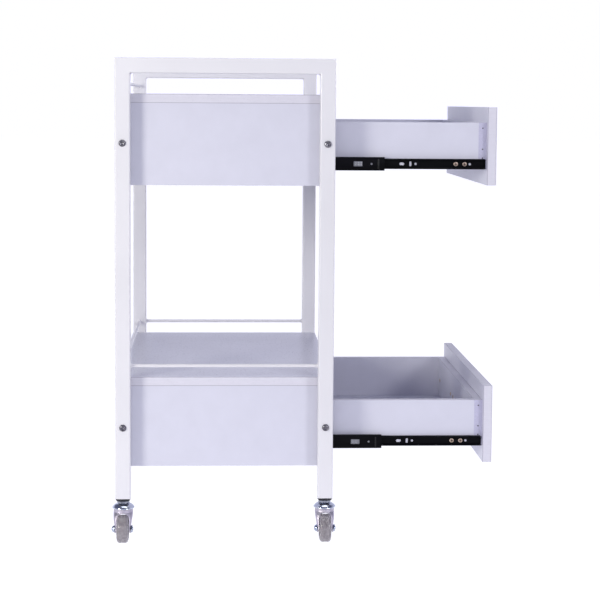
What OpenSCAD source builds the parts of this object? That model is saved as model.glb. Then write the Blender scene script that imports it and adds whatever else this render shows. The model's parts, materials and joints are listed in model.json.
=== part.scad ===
// Rolling salon trolley: two welded side frames on swivel casters carry two
// drawer cabinets. Both drawers stand pulled right out on full-extension slides.
// Millimetres, +Z up, +X towards the drawer fronts. The origin is on the floor,
// under the middle of the trolley with its drawers out.

/* [Side frames] */
// Depth over the back leg and the front leg
frame_depth = 389; // [380:1:440]
// Width over the two side frames
frame_width = 600; // [560:5:700]
// Height from the leg ends to the top bar
frame_height = 786; // [770:1:840]
// Side of the square tube
tube = 27; // [25:1:30]
// Wall thickness of the tube
tube_wall = 1.2; // [1:0.1:1.6]
// Diameter of the guard rods
rod_d = 6; // [5:0.5:8]
// Height of the upper back rod above the top board
upper_rod_rise = 19; // [15:1:22]
// Height of the shelf rods above the shelf
shelf_rod_rise = 23; // [15:1:60]

/* [Cabinets] */
// Thickness of the boards
board = 16; // [15:1:18]
// Height of a cabinet with its top board
cabinet_height = 162; // [160:1:170]
// Height of the lower cabinet above the leg ends
lower_cabinet_rise = 54; // [40:1:100]
// Height of the upper cabinet above the leg ends
upper_cabinet_rise = 561; // [480:1:565]
// Height of the frame bolts above the cabinet bottom
bolt_rise = 75; // [60:1:90]

/* [Drawers] */
// Travel of a drawer, which is also its stand at rest
travel = 294; // [250:1:300]
// Gap around a drawer front
front_gap = 2; // [1:0.5:3]
// Height of a drawer front
front_height = 141; // [136:1:142]
// Length of a drawer box behind its front
box_length = 340; // [310:1:345]
// Height of the drawer box sides
box_height = 84; // [70:1:90]
// Height of the drawer box above the cabinet bottom
box_rise = 30; // [25:1:30]
// Thickness of the drawer box boards
box_board = 15; // [12:1:16]
// Thickness of the drawer's bottom sheet
bottom_sheet = 3; // [3:0.5:6]

/* [Drawer slides] */
// Height of the slide's middle above the cabinet bottom
slide_rise = 39; // [37:1:45]
// Space that a slide takes between cabinet and drawer
slide_space = 12.7; // [12.7:0.1:13]
// Length of the outer and the inner members
slide_length = 300; // [280:1:300]
// Length of the middle member
middle_length = 260; // [240:1:260]

/* [Casters] */
// Height of a caster from the floor to the leg end
caster_height = 77; // [77:1:79]
// Diameter of the wheel
wheel_d = 50; // [46:1:50]
// Width of the wheel
wheel_width = 20.6; // [18:0.1:20.6]
// Distance of the axle from the swivel axis
trail = 20; // [18:1:22]

/* [Hidden] */
$fn = 64;

// Colours
coat_white = [0.90, 0.90, 0.92];
board_white = [0.86, 0.86, 0.91];
slide_black = [0.08, 0.08, 0.09];
plastic_black = [0.10, 0.10, 0.11];
zinc = [0.72, 0.74, 0.77];
screw_yellow = [0.72, 0.62, 0.42];
ball_steel = [0.60, 0.61, 0.63];
core_grey = [0.70, 0.69, 0.70];
tyre_grey = [0.60, 0.58, 0.59];

// Shared allowances
eps = 0.01;        // lets a cutter pass through a face
mid = tube / 2;    // leg middle from its outer face
corner_r = 2.5;    // rounding of the tube's edges

// Where the frames stand
cup_r = 20;
rear_x = -(frame_depth + travel - (cup_r - mid)) / 2;
front_x = rear_x + frame_depth;
side_y = frame_width / 2;
foot_z = caster_height;
top_z = foot_z + frame_height;
leg_xs = [rear_x + mid, front_x - mid];
leg_y = side_y - mid;

// Where the cabinets stand
cabinet_y = side_y - tube;
inner_y = cabinet_y - board;
upper_z = foot_z + upper_cabinet_rise;
lower_z = foot_z + lower_cabinet_rise;
cabinet_zs = [lower_z, upper_z];
inner_h = cabinet_height - board;
shelf_z = lower_z + cabinet_height;

// Where a drawer stands when it is out
front_back_x = front_x + travel - board;
box_back_x = front_back_x - box_length;
box_y = inner_y - slide_space;
box_inner_y = box_y - box_board;
rebate = 5;             // width of the rebate for the bottom sheet
lap = 5;                // how thick the box front's ends lie over the sides
tongue = 10;            // how far the sides reach into the box front
front_rise = 1;         // height of the front above the cabinet bottom

// Drawer slide sections, across the slide from the cabinet side
steel = 1.2;
outer_h = 35;
outer_depth = 10;
middle_h = 24.4;
middle_in = 2.4;
middle_depth = 8;
inner_h_web = 18.8;
inner_h_arms = 16.4;
inner_in = 5.2;
slide_setback = 2;      // members stop short of the front's back face
outer_lip = 1.3;        // width of the outer member's rolled lips
end_corner = 3;         // rounding of the inner member's front corners
outer_x = front_x - board - slide_setback - slide_length;
inner_x = outer_x + travel;
middle_x = outer_x + 3 + travel / 2;
outer_cage_length = 110;
outer_cage_x = (middle_x + outer_x + slide_length - outer_cage_length) / 2;
inner_cage_length = 100;
inner_cage_x = (inner_x + middle_x + middle_length - inner_cage_length) / 2;
outer_ball = 3.4;
inner_ball = 2.0;
ball_pitch = 9;

// Holes in the members, measured back from the member's front end
inner_slot_x = 152;     // lying slot
inner_tall_x = 136.5;   // standing slot
inner_hole_xs = [127, 28.5, 240, 272];
inner_screw_xs = [54, 38, 255];
middle_window_x = 48;
middle_hole_x = 23.5;
outer_screw_xs = [265, 200, 60];
screw_head_r = 4;
screw_r = 1.75;
side_screw = 9;         // depth of the slide screws in a drawer side

// Fasteners
bolt_r = 4;
bolt_hole_r = 4.2;
bolt_head_r = 7;
bolt_head_h = 4.4;
bolt_grip = 12;         // length of the bolt in the side board
dowel_r = 4;
dowel_top = 9;          // dowel length in the top board or the side
dowel_low = 20;         // dowel length in the other board
dowel_xs = [rear_x + 60, front_x - 60];
front_screw_ys = [-203, -48, -17, 17, 48, 203];
front_screw_rise = 70;  // above the cabinet bottom
nail_rises = [50, 66, 104];
nail_r = 1;
nail_length = 30;

// Caster heights, down from the leg end
collar_h = 5;
nut_h = 4.5;
plug_length = 20;       // how far a plug reaches up into its leg
stem_top = 26;          // how far a stem reaches up
cup_top = -(collar_h + nut_h + 1);
cup_rim = -18;
tier_top = -18.4;
tier_r = 17.2;
tier_low = -24.5;
fork_sheet = 1.9;
fork_low_x = 14.3;      // half the fork's width at the axle
axle_boss_r = 7.5;      // rounding of the cheeks around the axle
stem_r = 5;
running = 0.05;         // radial clearance of a running fit
axle_r = 3;
axle_drop = wheel_d / 2 - caster_height;
core_r = 18;
hub_r = 7;
hub_half = 10.9;
tread_round = 6;        // rounding of the tread's edges

// ---- shared shapes ------------------------------------------------------

// Extrudes a (y, z) outline along X
module along_x(x, length) {
    translate([x, 0, 0]) rotate([90, 0, 90]) linear_extrude(length) children();
}

// Makes its children on the left and, mirrored, on the right
module both_sides() {
    for (s = [0, 1]) mirror([0, s, 0]) children();
}

module block(low, high) {
    translate(low) cube(high - low);
}

// Square with rounded corners
module soft_square(side, r) {
    square([side - 2 * r, side], center = true);
    square([side, side - 2 * r], center = true);
    for (a = [-1, 1], b = [-1, 1])
        translate([a, b] * (side / 2 - r)) circle(r);
}

// Filled outline of a channel, with the bends at its web rounded
module channel_block(depth, height, r) {
    translate([0, -height / 2 + r]) square([depth, height - 2 * r]);
    translate([r, -height / 2]) square([depth - r, height]);
    for (s = [-1, 1]) translate([r, s * (height / 2 - r)]) circle(r);
}

// Channel open towards +X, its web on the Y axis
module channel(depth, height, bend) {
    difference() {
        channel_block(depth, height, bend);
        translate([steel, 0])
            channel_block(depth, height - 2 * steel, bend - steel);
    }
}

// Slot through a web at the slide's middle height, along X or standing
module web_slot(x, length, r, standing = false) {
    half = length / 2 - r;
    turn = standing ? 90 : 0;
    translate([x, 0, 0]) rotate([0, turn, 0]) {
        for (s = [-1, 1]) translate([s * half, 0, 0]) rotate([90, 0, 0])
            cylinder(r = r, h = 40, center = true);
        cube([2 * half, 40, 2 * r], center = true);
    }
}

module across_y(x, y, z, r, length) {
    translate([x, y, z]) rotate([-90, 0, 0]) cylinder(r = r, h = length);
}

// ---- side frames --------------------------------------------------------

// Square with two rounded corners; its plain half points the way of the turn
module half_soft_square(side, r, turn) {
    rotate(turn) {
        soft_square(side, r);
        translate([0, -side / 2]) square([side / 2, side]);
    }
}

// Welded tube frame outline, ground flush where a leg meets the top bar; the inset
// leaves room for the wall
module frame_shape(inset, foot) {
    side = tube - 2 * inset;
    r = corner_r - inset;
    for (end = [0, 1]) {
        x = leg_xs[end];
        translate([x, -leg_y, foot]) linear_extrude(top_z - tube - foot)
            soft_square(side, r);
        intersection() {
            translate([x, -leg_y, top_z - mid - side / 2]) linear_extrude(side)
                half_soft_square(side, r, 180 * end);
            along_x(x - side / 2, side)
                translate([-leg_y, top_z - mid]) half_soft_square(side, r, -90);
        }
    }
    along_x(leg_xs[0] + side / 2, leg_xs[1] - leg_xs[0] - side)
        translate([-leg_y, top_z - mid]) soft_square(side, r);
}

module side_frame() {
    color(coat_white) difference() {
        frame_shape(0, foot_z);
        frame_shape(tube_wall, foot_z - 1);
        for (x = leg_xs, z = cabinet_zs)
            across_y(x, -side_y - 1, z + bolt_rise, bolt_hole_r, tube + 2);
    }
}

module left_side_frame() { side_frame(); }
module right_side_frame() { mirror([0, 1, 0]) side_frame(); }

// Rod welded between the legs of a side frame, just above the shelf
module shelf_rail() {
    color(coat_white) translate([rear_x + tube, -leg_y, shelf_z + shelf_rod_rise])
        rotate([0, 90, 0]) cylinder(d = rod_d, h = frame_depth - 2 * tube);
}

module left_shelf_rail() { shelf_rail(); }
module right_shelf_rail() { mirror([0, 1, 0]) shelf_rail(); }

// Rod across the back, between the two side frames
module back_rail(z) {
    color(coat_white) across_y(leg_xs[0], -cabinet_y, z, rod_d / 2, 2 * cabinet_y);
}

module upper_back_rail() { back_rail(upper_z + cabinet_height + upper_rod_rise); }
module lower_back_rail() { back_rail(shelf_z + shelf_rod_rise); }

// Button-head bolt with a hexagon socket, through a leg into the cabinet side
module frame_bolt() {
    difference() {
        union() {
            translate([0, 0, -tube - bolt_grip]) cylinder(r = bolt_r, h = tube + bolt_grip);
            intersection() {
                cylinder(r = bolt_head_r, h = bolt_head_h);
                translate([0, 0, bolt_head_h - 9]) sphere(9);
            }
        }
        translate([0, 0, bolt_head_h - 2.6]) cylinder(d = 5.8, h = 3, $fn = 6);
    }
}

module frame_bolts() {
    color(zinc) both_sides() for (x = leg_xs, z = cabinet_zs)
        translate([x, -side_y, z + bolt_rise]) rotate([90, 0, 0]) frame_bolt();
}

// ---- cabinets -----------------------------------------------------------

module cabinet_top_board(z) {
    color(board_white) difference() {
        block([rear_x, -cabinet_y, z + inner_h], [front_x, cabinet_y, z + cabinet_height]);
        both_sides() for (x = dowel_xs) translate([x, -cabinet_y + board / 2, z + inner_h - eps])
            cylinder(r = dowel_r, h = dowel_top + eps);
    }
}

module cabinet_side(z) {
    color(board_white) difference() {
        block([rear_x, -cabinet_y, z], [front_x, -inner_y, z + inner_h]);
        for (x = leg_xs)
            across_y(x, -cabinet_y - eps, z + bolt_rise, bolt_r, bolt_grip + eps);
        for (x = dowel_xs) {
            translate([x, -cabinet_y + board / 2, z + inner_h - dowel_low])
                cylinder(r = dowel_r, h = dowel_low + eps);
            across_y(x, -inner_y - dowel_top, z + board / 2, dowel_r, dowel_top + eps);
        }
        for (x = outer_screw_xs)
            across_y(outer_x + x, -inner_y - 11, z + slide_rise, screw_r, 11 + eps);
    }
}

module cabinet_back(z) {
    color(board_white)
        block([rear_x, -inner_y, z], [rear_x + board, inner_y, z + inner_h]);
}

// Stops behind the closed drawer front, which covers its edge
module cabinet_bottom(z) {
    color(board_white) difference() {
        block([rear_x + board, -inner_y, z], [front_x - board - 1.5, inner_y, z + board]);
        both_sides() for (x = dowel_xs)
            across_y(x, -inner_y - eps, z + board / 2, dowel_r, dowel_low + eps);
    }
}

module upper_top_board() { cabinet_top_board(upper_z); }
module lower_top_board() { cabinet_top_board(lower_z); }
module upper_cabinet_left_side() { cabinet_side(upper_z); }
module lower_cabinet_left_side() { cabinet_side(lower_z); }
module upper_cabinet_right_side() { mirror([0, 1, 0]) cabinet_side(upper_z); }
module lower_cabinet_right_side() { mirror([0, 1, 0]) cabinet_side(lower_z); }
module upper_cabinet_back() { cabinet_back(upper_z); }
module lower_cabinet_back() { cabinet_back(lower_z); }
module upper_cabinet_bottom() { cabinet_bottom(upper_z); }
module lower_cabinet_bottom() { cabinet_bottom(lower_z); }

// Pan-head screw along +Y from the face it holds down
module small_screw(length) {
    rotate([90, 0, 0]) {
        translate([0, 0, -length]) cylinder(r = screw_r, h = length);
        cylinder(r1 = screw_head_r, r2 = screw_head_r - 0.4, h = 0.8);
    }
}

// Dowels between the boards, and the screws that hold the outer slide members
module cabinet_fixings() {
    color(screw_yellow) both_sides() for (z = cabinet_zs) {
        for (x = dowel_xs) {
            translate([x, -cabinet_y + board / 2, z + inner_h - dowel_low])
                cylinder(r = dowel_r, h = dowel_low + dowel_top);
            across_y(x, -inner_y - dowel_top, z + board / 2, dowel_r, dowel_top + dowel_low);
        }
        for (x = outer_screw_xs)
            translate([outer_x + x, -inner_y + steel - 0.4, z + slide_rise])
                rotate([0, 0, 180]) outer_rail_screw();
    }
}

// Flat screw whose head is sunk in the outer member's web
module outer_rail_screw() {
    rotate([90, 0, 0]) {
        translate([0, 0, -(10 + steel - 0.4)]) cylinder(r = screw_r, h = 10 + steel - 0.4);
        cylinder(r = 3, h = 0.4);
    }
}

// ---- drawer slides ------------------------------------------------------

// Places a slide part: outline from the cabinet side, on both sides
module slide_member(z, x, length) {
    both_sides() along_x(x, length) translate([-inner_y, z + slide_rise]) children();
}

module outer_rails(z) {
    color(slide_black) difference() {
        slide_member(z, outer_x, slide_length) {
            channel(outer_depth, outer_h, 2);
            for (s = [-1, 1])
                translate([outer_depth - steel, s * (outer_h / 2 - 1.8) - outer_lip / 2])
                    square([steel, outer_lip]);
        }
        for (x = outer_screw_xs) translate([outer_x + x, 0, z + slide_rise]) rotate([90, 0, 0])
            cylinder(r = screw_r, h = frame_width, center = true);
        both_sides() for (x = outer_screw_xs)
            across_y(outer_x + x, -inner_y + steel - 0.4, z + slide_rise, 3, 1);
    }
}

module middle_rails(z) {
    front = middle_x + middle_length;
    color(slide_black) difference() {
        slide_member(z, middle_x, middle_length)
            translate([middle_in, 0]) channel(middle_depth, middle_h, 2.2);
        both_sides() {
            translate([front - middle_window_x, -inner_y, z + slide_rise])
                cube([16, 40, 9], center = true);
            across_y(front - middle_hole_x, -inner_y, z + slide_rise, 2, 6);
        }
    }
}

module inner_rails(z) {
    front = inner_x + slide_length;
    color(slide_black) difference() {
        slide_member(z, inner_x, slide_length) {
            translate([slide_space - steel, -inner_h_web / 2]) square([steel, inner_h_web]);
            for (s = [-1, 1])
                translate([inner_in, s * (inner_h_arms - steel) / 2 - steel / 2])
                    square([slide_space - inner_in, steel]);
        }
        for (s = [-1, 1]) translate([0, s * inner_y, z + slide_rise]) {
            web_slot(front - inner_slot_x, 9.5, 2.6);
            web_slot(front - inner_tall_x, 9, 2.2, true);
            for (x = inner_hole_xs) across_y(front - x, -20, 0, 2.3, 40);
            for (x = inner_screw_xs) across_y(front - x, -20, 0, screw_r, 40);
        }
        end_rounding(front, z + slide_rise);
    }
}

// Cutter that rounds the two corners at the inner members' front ends
module end_rounding(front, z) {
    r = end_corner;
    for (s = [-1, 1]) translate([front - r, 0, z + s * (inner_h_web / 2 - r)]) difference() {
        translate([0, -side_y, min(s, 0) * (r + eps)])
            cube([r + eps, frame_width, r + eps]);
        rotate([90, 0, 0]) cylinder(r = r, h = frame_width + 2, center = true);
    }
}

// Retainer strip with its two rows of balls
module ball_cage(z, x, length, inset, web_h, ball, ball_in, sheet) {
    count = floor((length - ball_pitch) / ball_pitch);
    first = (length - count * ball_pitch) / 2;
    row = web_h / 2 - sheet / 2;
    color(ball_steel) {
        slide_member(z, x, length) translate([inset, 0]) {
            translate([0, -web_h / 2]) square([sheet, web_h]);
            for (s = [-1, 1]) translate([0, s * row - sheet / 2])
                square([ball_in - inset + ball * 0.8, sheet]);
        }
        both_sides() for (i = [0 : count], s = [-1, 1])
            translate([x + first + i * ball_pitch, -inner_y + ball_in, z + slide_rise + s * row])
                sphere(d = ball, $fn = 24);
    }
}

module outer_cages(z) {
    ball_cage(z, outer_cage_x, outer_cage_length, 1.55, 29, outer_ball, 6, 0.5);
}

module inner_cages(z) {
    ball_cage(z, inner_cage_x, inner_cage_length, 4.15, 19.7, inner_ball, 7.5, 0.5);
}

module upper_outer_rails() { outer_rails(upper_z); }
module lower_outer_rails() { outer_rails(lower_z); }
module upper_middle_rails() { middle_rails(upper_z); }
module lower_middle_rails() { middle_rails(lower_z); }
module upper_inner_rails() { inner_rails(upper_z); }
module lower_inner_rails() { inner_rails(lower_z); }
module upper_outer_cages() { outer_cages(upper_z); }
module lower_outer_cages() { outer_cages(lower_z); }
module upper_inner_cages() { inner_cages(upper_z); }
module lower_inner_cages() { inner_cages(lower_z); }

// ---- drawers ------------------------------------------------------------

// Front panel, set between the cabinet sides when closed
module drawer_front(z) {
    half = inner_y - front_gap;
    color(board_white) difference() {
        block([front_back_x, -half, z + front_rise],
              [front_back_x + board, half, z + front_rise + front_height]);
        for (y = front_screw_ys) translate([front_back_x - eps, y, z + front_screw_rise])
            rotate([0, 90, 0]) cylinder(r = screw_r, h = 10 + eps);
    }
}

// Room of the bottom sheet, in rebates along the lower inner edges of the box boards
module sheet_room(z, below = 0) {
    low = z + box_rise;
    block([box_back_x + box_board - rebate, -box_inner_y - rebate, low - below],
          [front_back_x - box_board + rebate, box_inner_y + rebate, low + bottom_sheet]);
}

// Side of the box, with a tongue that reaches into the box front
module drawer_side(z) {
    low = z + box_rise;
    high = low + box_height;
    end = front_back_x - box_board;
    color(board_white) difference() {
        union() {
            block([box_back_x, -box_y, low], [end, -box_inner_y, high]);
            block([end - 1, -box_y + lap, low], [end + tongue, -box_inner_y, high]);
        }
        sheet_room(z, eps);
        for (x = inner_screw_xs) across_y(inner_x + slide_length - x, -box_y - eps,
            z + slide_rise, screw_r, side_screw + eps);
        box_nails(z, eps);
    }
}

// Front board of the box, whose ends lap over the sides' tongues
module drawer_box_front(z) {
    low = z + box_rise;
    high = low + box_height;
    x = front_back_x - box_board;
    color(board_white) difference() {
        block([x, -box_y, low], [front_back_x, box_y, high]);
        sheet_room(z, eps);
        both_sides() block([x - eps, -box_y + lap, low - eps],
                           [x + tongue, -box_inner_y, high + eps]);
        for (y = front_screw_ys) translate([x - eps, y, z + front_screw_rise])
            rotate([0, 90, 0]) cylinder(r = screw_r, h = box_board + 2 * eps);
        both_sides() box_nails(z, eps);
    }
}

// Back board, between the box sides
module drawer_back(z) {
    low = z + box_rise;
    color(board_white) difference() {
        block([box_back_x, -box_inner_y, low],
              [box_back_x + box_board, box_inner_y, low + box_height]);
        sheet_room(z, eps);
    }
}

module drawer_bottom(z) { color(board_white) sheet_room(z); }

// Nails through one end of the box front and the side's tongue
module box_nails(z, proud = 0) {
    for (h = nail_rises) across_y(front_back_x - box_board / 2, -box_y - proud,
        z + h, nail_r, nail_length + proud);
}

// Screws of the front and the inner slide members, and the nails of the sides
module drawer_screws(z) {
    color(screw_yellow) {
        for (y = front_screw_ys)
            translate([front_back_x - box_board, y, z + front_screw_rise])
                rotate([0, 0, -90]) small_screw(box_board + 10);
        both_sides() {
            for (x = inner_screw_xs)
                translate([inner_x + slide_length - x, -box_y - steel, z + slide_rise])
                    small_screw(side_screw + steel);
            box_nails(z);
        }
    }
}

module upper_drawer_front() { drawer_front(upper_z); }
module lower_drawer_front() { drawer_front(lower_z); }
module upper_drawer_box_front() { drawer_box_front(upper_z); }
module lower_drawer_box_front() { drawer_box_front(lower_z); }
module upper_drawer_left_side() { drawer_side(upper_z); }
module lower_drawer_left_side() { drawer_side(lower_z); }
module upper_drawer_right_side() { mirror([0, 1, 0]) drawer_side(upper_z); }
module lower_drawer_right_side() { mirror([0, 1, 0]) drawer_side(lower_z); }
module upper_drawer_back() { drawer_back(upper_z); }
module lower_drawer_back() { drawer_back(lower_z); }
module upper_drawer_bottom() { drawer_bottom(upper_z); }
module lower_drawer_bottom() { drawer_bottom(lower_z); }
module upper_drawer_screws() { drawer_screws(upper_z); }
module lower_drawer_screws() { drawer_screws(lower_z); }

// ---- casters ------------------------------------------------------------

// Makes its children at one leg's end; casters trail away from the trolley
module at_leg(front, right) {
    mirror([0, right, 0]) translate([leg_xs[front], -leg_y, foot_z]) children();
}

module at_every_leg() {
    for (front = [0, 1], right = [0, 1]) at_leg(front, right) children();
}

// Plug that closes the leg and holds the stem
module leg_plug() {
    bore = tube - 2 * tube_wall;
    taper = [[-mid, 0], [mid, 0], [mid - 2.5, -collar_h], [-mid + 2.5, -collar_h]];
    difference() {
        union() {
            linear_extrude(plug_length) soft_square(bore, corner_r - tube_wall);
            intersection() {
                translate([0, mid, 0]) rotate([90, 0, 0]) linear_extrude(tube) polygon(taper);
                translate([-mid, 0, 0]) rotate([90, 0, 90]) linear_extrude(tube) polygon(taper);
            }
        }
        translate([0, 0, -collar_h - 1])
            cylinder(r = stem_r, h = collar_h + plug_length + 2);
    }
}

module leg_plugs() { color(plastic_black) at_every_leg() leg_plug(); }

// Stem with its nut, the dome riveted to it and the swivel pin below
module caster_stem() {
    pin_low = tier_top - fork_sheet - 0.5;
    translate([0, 0, pin_low]) cylinder(r = stem_r, h = stem_top - pin_low);
    translate([0, 0, pin_low - 1.4]) cylinder(r = 8, h = 1.4);
    translate([0, 0, -collar_h - nut_h]) cylinder(d = 22, h = nut_h, $fn = 6);
    rotate_extrude() polygon([
        [0, cup_top], [11, cup_top], [15.5, cup_top - 1.9], [19, -15.2], [cup_r, -16.2],
        [cup_r, cup_rim], [18.8, cup_rim], [18.8, -16.7], [18.3, -16.2], [15, -13.8],
        [10.8, cup_top - 1.4], [7, cup_top - 1.4], [7, -17.6], [0, -17.6]]);
}

module caster_stems() { color(zinc) at_every_leg() caster_stem(); }

// Pressed fork: a ring under the dome runs down into two cheeks and two skirts
module fork() {
    outer = [[-tier_r, tier_low - 5], [-tier_r, tier_low + 1], [tier_r, tier_low + 1],
             [tier_r, tier_low - 5], [fork_low_x, -46], [fork_low_x, -64],
             [-fork_low_x, -64], [-fork_low_x, -46]];
    inner = [for (p = outer) [p[0] - sign(p[0]) * fork_sheet, p[1] > tier_low ? 0 : p[1]]];
    difference() {
        intersection() {
            union() {
                translate([0, 0, tier_top - fork_sheet - 4.5])
                    cylinder(r = tier_r, h = fork_sheet + 4.5);
                across_fork() polygon([[tier_r, tier_low + 1], [tier_r, tier_low - 6],
                    [-trail + 9, axle_drop - 5], [-trail, axle_drop - axle_boss_r],
                    [-trail - axle_boss_r, axle_drop], [-tier_r - 4, tier_low - 8],
                    [-tier_r, tier_low + 1]]);
                across_fork() translate([-trail, axle_drop]) circle(axle_boss_r);
            }
            union() {
                along_fork() polygon(outer);
                translate([0, 0, tier_low]) cylinder(r = tier_r, h = 10);
            }
        }
        intersection() {
            along_fork() polygon(inner);
            union() {
                translate([0, 0, tier_low - 2])
                    cylinder(r = tier_r - fork_sheet, h = 2 + tier_top - fork_sheet - tier_low);
                across_fork() polygon([[tier_r - 2, tier_low + 1], [tier_r - 2, tier_low - 5.2],
                    [-trail + 6, -70], [-trail - 20, -70],
                    [-trail - 5.5, axle_drop], [-tier_r - 2, tier_low - 8],
                    [-tier_r + 2, tier_low + 1]]);
            }
        }
        along_fork() wheel_arch(11.4, 9);
        translate([0, 0, tier_top - 3]) cylinder(r = stem_r + running, h = 4);
        rotate([0, 90, 0]) translate([-axle_drop, -trail, 0])
            cylinder(r = axle_r, h = 60, center = true);
    }
}

// Extrudes a (y, z) outline across the fork
module across_fork() {
    translate([-tier_r, 0, 0]) rotate([90, 0, 90]) linear_extrude(2 * tier_r) children();
}

// Extrudes an (x, z) outline right through the fork, from front to back
module along_fork() {
    translate([0, 60, 0]) rotate([90, 0, 0]) linear_extrude(120) children();
}

// Arched way for the wheel through both skirts, open below
module wheel_arch(half, crown_r) {
    crown = tier_low - 0.7;
    for (s = [-1, 1]) translate([s * (half - crown_r), crown - crown_r]) circle(crown_r);
    translate([-half + crown_r, crown - 2 * crown_r])
        square([2 * (half - crown_r), 2 * crown_r]);
    translate([-half, -80]) square([2 * half, 80 + crown - crown_r]);
}

// Axle bolt with a domed head on one side and a nut on the other
module axle() {
    translate([0, -trail, axle_drop]) rotate([0, 90, 0]) {
        translate([0, 0, -fork_low_x]) cylinder(r = axle_r, h = 2 * fork_low_x + 5.2);
        intersection() {
            translate([0, 0, -fork_low_x - 5]) cylinder(r = 6, h = 5);
            translate([0, 0, -fork_low_x + 1.2]) sphere(6.2);
        }
        translate([0, 0, fork_low_x]) cylinder(d = 11.5, h = 4, $fn = 6);
    }
}

// Wheel core: hub, web and rim, with round windows through the web
module wheel_core() {
    rim = 2.5;
    window_ring = (core_r - rim + hub_r) / 2;
    translate([0, -trail, axle_drop]) rotate([0, 90, 0]) difference() {
        union() {
            cylinder(r = hub_r, h = 2 * hub_half, center = true);
            cylinder(r = core_r, h = 4, center = true);
            difference() {
                cylinder(r = core_r, h = wheel_width - 4, center = true);
                cylinder(r = core_r - rim, h = wheel_width, center = true);
            }
        }
        cylinder(r = axle_r + running, h = 40, center = true);
        for (a = [0 : 60 : 300]) rotate([0, 0, a]) translate([window_ring, 0, 0])
            cylinder(r = 2.8, h = 10, center = true);
    }
}

// Tyre moulded onto the core, with a rounded tread
module tyre() {
    r = wheel_d / 2;
    half = wheel_width / 2;
    translate([0, -trail, axle_drop]) rotate([0, 90, 0]) rotate_extrude() intersection() {
        translate([core_r, -half]) square([r - core_r, wheel_width]);
        union() {
            translate([0, -half]) square([r - tread_round, wheel_width]);
            translate([0, -half + tread_round]) square([r, wheel_width - 2 * tread_round]);
            for (s = [-1, 1]) translate([r - tread_round, s * (half - tread_round)])
                circle(tread_round);
        }
    }
}

module caster_fork(front, right) { color(zinc) at_leg(front, right) fork(); }
module caster_axle(front, right) { color(zinc) at_leg(front, right) axle(); }
module caster_core(front, right) { color(core_grey) at_leg(front, right) wheel_core(); }
module caster_tyre(front, right) { color(tyre_grey) at_leg(front, right) tyre(); }

module front_left_fork() { caster_fork(1, 0); }
module front_left_axle() { caster_axle(1, 0); }
module front_left_wheel_core() { caster_core(1, 0); }
module front_left_tyre() { caster_tyre(1, 0); }
module front_right_fork() { caster_fork(1, 1); }
module front_right_axle() { caster_axle(1, 1); }
module front_right_wheel_core() { caster_core(1, 1); }
module front_right_tyre() { caster_tyre(1, 1); }
module rear_left_fork() { caster_fork(0, 0); }
module rear_left_axle() { caster_axle(0, 0); }
module rear_left_wheel_core() { caster_core(0, 0); }
module rear_left_tyre() { caster_tyre(0, 0); }
module rear_right_fork() { caster_fork(0, 1); }
module rear_right_axle() { caster_axle(0, 1); }
module rear_right_wheel_core() { caster_core(0, 1); }
module rear_right_tyre() { caster_tyre(0, 1); }

left_side_frame();
right_side_frame();
left_shelf_rail();
right_shelf_rail();
upper_back_rail();
lower_back_rail();
frame_bolts();
leg_plugs();
caster_stems();
upper_top_board();
upper_cabinet_left_side();
upper_cabinet_right_side();
upper_cabinet_back();
upper_cabinet_bottom();
lower_top_board();
lower_cabinet_left_side();
lower_cabinet_right_side();
lower_cabinet_back();
lower_cabinet_bottom();
cabinet_fixings();
upper_outer_rails();
upper_outer_cages();
upper_middle_rails();
upper_inner_cages();
upper_inner_rails();
lower_outer_rails();
lower_outer_cages();
lower_middle_rails();
lower_inner_cages();
lower_inner_rails();
upper_drawer_front();
upper_drawer_box_front();
upper_drawer_left_side();
upper_drawer_right_side();
upper_drawer_back();
upper_drawer_bottom();
upper_drawer_screws();
lower_drawer_front();
lower_drawer_box_front();
lower_drawer_left_side();
lower_drawer_right_side();
lower_drawer_back();
lower_drawer_bottom();
lower_drawer_screws();
front_left_fork();
front_left_axle();
front_left_wheel_core();
front_left_tyre();
front_right_fork();
front_right_axle();
front_right_wheel_core();
front_right_tyre();
rear_left_fork();
rear_left_axle();
rear_left_wheel_core();
rear_left_tyre();
rear_right_fork();
rear_right_axle();
rear_right_wheel_core();
rear_right_tyre();
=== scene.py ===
import json
import math
import random

import bmesh
import bpy
from mathutils import Matrix, Vector


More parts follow.
